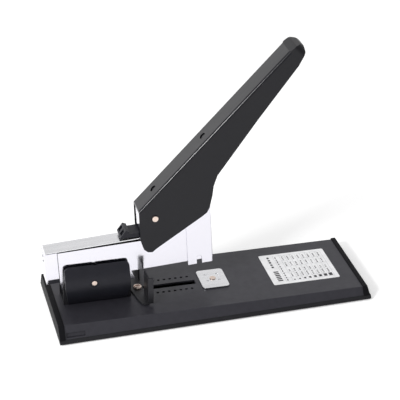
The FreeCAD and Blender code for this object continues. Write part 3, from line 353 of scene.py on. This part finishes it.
def label_print():
    """Generic print: a heading line of bars, and a ruled table of headings, blocks and dashes.

    x runs towards the label's front end, down the print, and y towards its far side, along a line.
    """
    low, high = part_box("size_label")
    corner = Vector((low.x, low.y, high.z)) + TOP_UP * INK_LIFT
    draw = random.Random(7)
    dark, pale = [], []

    def mark(store, x, y, length_x, length_y, look):
        """A thin bar of ink, kept with the dark or the pale ones."""
        start = corner + TOP_X * x * MM + FAR * y * MM
        name = "ink_%d" % (len(dark) + len(pale))
        size = (length_x * MM, length_y * MM, INK_THICK)
        store.append(plate(name, start, TOP_X, FAR, TOP_UP, size, look))

    for index in range(6):  # the heading line: tall bars, then words
        mark(dark, x=5.4, y=5.0 + index * 2.9, length_x=4.4, length_y=1.9, look=INK)
    for index in range(5):
        mark(dark, x=6.2, y=27.5 + index * 3.9, length_x=2.0, length_y=draw.uniform(2.2, 3.2), look=INK)
    for index in range(11):  # the table's line of headings
        mark(dark, x=13.4, y=4.4 + index * 3.8, length_x=1.0, length_y=draw.uniform(2.0, 3.1), look=INK)
    table_width = TABLE_FAR - TABLE_NEAR
    for row in range(ROWS):
        x = FIRST_ROW + row * ROW_PITCH
        mark(pale, x - RULE_BEFORE_ROW, TABLE_NEAR, RULE_WIDTH, table_width, FAINT_INK)
        length, width = 1.4 + row * 0.26, 1.5 + row * 0.42  # each row's block is larger
        mark(dark, x - length / 2 + BLOCK_SHIFT, BLOCK_START, length, width, INK)
        for start, count in DASH_COLUMNS:
            for dash in range(count):
                y = start + dash * DASH_PITCH + draw.uniform(-DASH_JITTER, DASH_JITTER)
                mark(dark, x, y, DASH_LENGTH, draw.uniform(0.9, 1.7), INK)
    table_front = FIRST_ROW + ROWS * ROW_PITCH - RULE_BEFORE_ROW
    for x in (table_front, TABLE_REAR):
        mark(pale, x, TABLE_NEAR, RULE_WIDTH, table_width, FAINT_INK)
    for y in COLUMN_RULES:
        mark(pale, TABLE_REAR, y, table_front - TABLE_REAR, RULE_WIDTH, FAINT_INK)
    merged("label_print_dark", dark, "base")
    merged("label_print_rules", pale, "base")


# ---------------------------------------------------------------- all the pieces

# How far each softened node's hard edges are broken, in millimetres.
EDGE = {
    "base_plate": 0.5, "rear_end_cap": 0.6, "front_end_cap": 0.6, "bottom_tray": 0.5,
    "hinge_bracket": 0.3, "hinge_cover_near": 0.5, "hinge_cover_far": 0.5, "anvil_plate": 0.22,
    "depth_guide": 0.3, "arm_frame": 0.3, "column_cover": 0.25, "magazine_cover": 0.35,
    "tail_cap": 0.45, "tail_block": 0.4, "latch_lever": 0.3, "handle_shell": 0.6,
    "pusher": 0.3, "ram_block": 0.3, "handle_liner": 0.2, "handle_cam": 0.3, "rubber_feet": 0.25,
    "handle_pin": 0.25, "hinge_pins": 0.25, "anvil_rivet": 0.2, "size_label": 0.05,
}


def return_spring():
    """The pusher's spring, a smoothed copy of its CAD node that rides on the spring's body."""
    piece = clean_copy("pusher_spring", "return_spring")
    smooth(piece.data)
    dress(piece, LOOKS["spring_steel"])
    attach(piece, BODY_OF["pusher_spring"])
    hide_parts("pusher_spring")
    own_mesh(piece)


def build():
    """Every CAD node gets its look: as it is, or as a finished copy that stands for it."""
    for node, obj in NODES.items():
        if node == "pusher_spring":
            return_spring()
        elif node in EDGE:
            softened(node, EDGE[node] * MM)
        else:
            dress(obj, LOOKS[SLOTS[node]])
    label_print()


# ---------------------------------------------------------------- camera, light, floor

LOOK_AT = Vector((-0.0033, -0.0013, 0.09306))
LOOK_FROM = 1.2605
AZIMUTH, ELEVATION, TILT = math.radians(14.54), math.radians(28.72), math.radians(-0.16)
# The sky's brightness, and how far towards +Y each is reached, from -1 to 1.
SKY_FRONT, SKY_BACK = 0.45, 0.88
SKY_FRONT_AT, SKY_BACK_AT = -0.9, 0.8
FLOOR_HALF = 6.0
FLOOR_WHITE = (0.90, 0.90, 0.90)
FLOOR_GLOW = 0.23


def camera():
    """A long lens on the near side, a little towards the rear end, looking down at the object."""
    ahead = Vector((math.sin(AZIMUTH) * math.cos(ELEVATION), math.cos(AZIMUTH) * math.cos(ELEVATION),
                    -math.sin(ELEVATION)))
    data = bpy.data.cameras.new("camera")
    data.lens = 135
    data.sensor_width = 36
    data.clip_start = 0.05
    data.clip_end = 50
    obj = link(bpy.data.objects.new("camera", data))
    right = ahead.cross(Vector((0, 0, 1))).normalized()
    up = right.cross(ahead)
    side = right * math.cos(TILT) + up * math.sin(TILT)
    top = up * math.cos(TILT) - right * math.sin(TILT)
    matrix = Matrix((side, top, -ahead)).transposed().to_4x4()
    matrix.translation = LOOK_AT - ahead * LOOK_FROM
    obj.matrix_world = matrix
    bpy.context.scene.camera = obj


def area(name, place, target, size, power):
    """A white rectangular light that the camera doesn't see."""
    data = bpy.data.lights.new(name, "AREA")
    data.shape = "RECTANGLE"
    data.size, data.size_y = size
    data.energy = power
    obj = link(bpy.data.objects.new(name, data))
    obj.location = place
    obj.visible_camera = False
    obj.rotation_mode = "QUATERNION"
    obj.rotation_quaternion = (Vector(target) - Vector(place)).to_track_quat("-Z", "Y")


def sky(tree):
    """A studio that is bright behind and above the object and dimmer on the camera's side."""
    place = tree.nodes.new("ShaderNodeTexCoord")
    split = tree.nodes.new("ShaderNodeSeparateXYZ")
    tree.links.new(place.outputs["Generated"], split.inputs["Vector"])
    ramp = tree.nodes.new("ShaderNodeMapRange")
    ramp.inputs["From Min"].default_value = SKY_FRONT_AT
    ramp.inputs["From Max"].default_value = SKY_BACK_AT
    ramp.inputs["To Min"].default_value = SKY_FRONT
    ramp.inputs["To Max"].default_value = SKY_BACK
    tree.links.new(split.outputs["Y"], ramp.inputs["Value"])
    back = tree.nodes["Background"]
    back.inputs["Color"].default_value = (1, 1, 1, 1)
    tree.links.new(ramp.outputs["Result"], back.inputs["Strength"])


def studio():
    world = bpy.data.worlds.new("studio")
    world.use_nodes = True
    sky(world.node_tree)
    bpy.context.scene.world = world
    area("key", place=(-1.15, -0.78, 0.895), target=(0.03, 0, 0.155), size=(0.42, 0.28), power=20)
    area("rim", place=(-0.97, 1.7, 0.6), target=(0, 0, 0.15), size=(1.3, 0.8), power=2.6)
    area("top", place=(0.1, 0.0, 1.6), target=(0, 0, 0.05), size=(0.8, 0.8), power=1.6)
    mesh = bpy.data.meshes.new("floor")
    corners = [(x * FLOOR_HALF, y * FLOOR_HALF, 0) for x, y in ((-1, -1), (1, -1), (1, 1), (-1, 1))]
    mesh.from_pydata(corners, [], [(0, 1, 2, 3)])
    floor = link(bpy.data.objects.new("floor", mesh))
    look = Shader("floor", FLOOR_WHITE, rough=0.9, specular=0.1)
    look.main.inputs["Emission Color"].default_value = (1, 1, 1, 1)
    look.main.inputs["Emission Strength"].default_value = FLOOR_GLOW
    dress(floor, look)
    scene = bpy.context.scene
    scene.view_settings.view_transform = "Standard"
    scene.view_settings.look = "None"
    scene.view_settings.exposure = 0.0


build()
camera()
studio()
